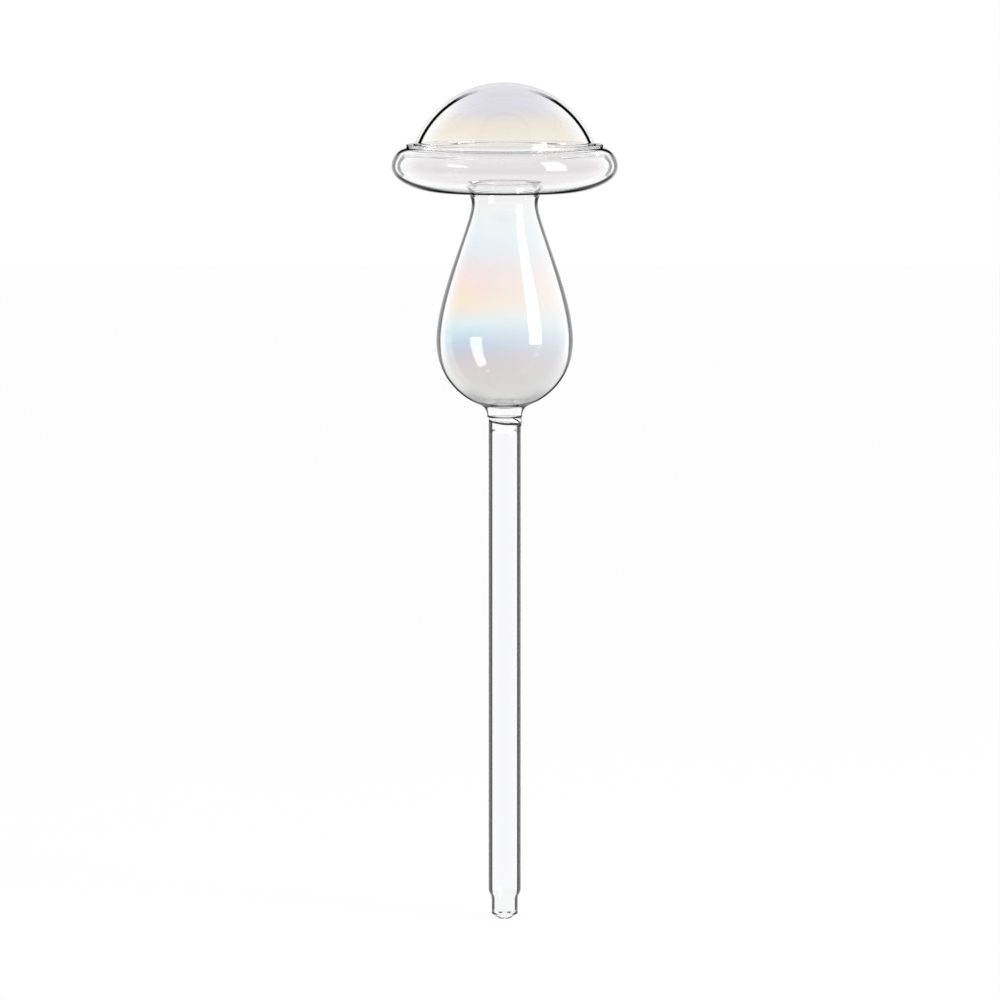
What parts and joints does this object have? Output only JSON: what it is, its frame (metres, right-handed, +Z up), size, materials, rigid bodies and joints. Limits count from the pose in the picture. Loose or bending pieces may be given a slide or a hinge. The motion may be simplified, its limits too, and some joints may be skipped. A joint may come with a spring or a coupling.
{
  "type": "watering globe",
  "caption": "Hollow glass mushroom reservoir: a domed cap on a rolled brim, a pear-shaped bulb, and a long straight feed tube drawn to a drip tip that goes into the soil.",
  "frame": {"origin": "centre of the drip opening, at the lowest point of the glass", "axes": "+Z runs up the feed tube and through the bulb to the top of the cap; the shape is round about it. -Y is the side that the picture shows, where the trail runs down to the right"},
  "size_m": [0.07, 0.07, 0.2599],
  "materials": {
    "cap_dome": "fire-polished clear borosilicate glass with a faint iridescent film",
    "cap_brim": "fire-polished clear borosilicate glass with a faint iridescent film",
    "stem_bulb": "blown clear borosilicate glass with a pastel iridescent film",
    "seam_trail": "fire-polished clear glass thread",
    "feed_tube": "clear drawn borosilicate tubing",
    "drip_tip": "clear drawn borosilicate glass, fire-polished end"
  },
  "bodies": {
    "root": {"cap_dome": "cap_dome", "cap_brim": "cap_brim", "stem_bulb": "stem_bulb", "seam_trail": "seam_trail", "feed_tube": "feed_tube", "drip_tip": "drip_tip"}
  },
  "joints": []
}
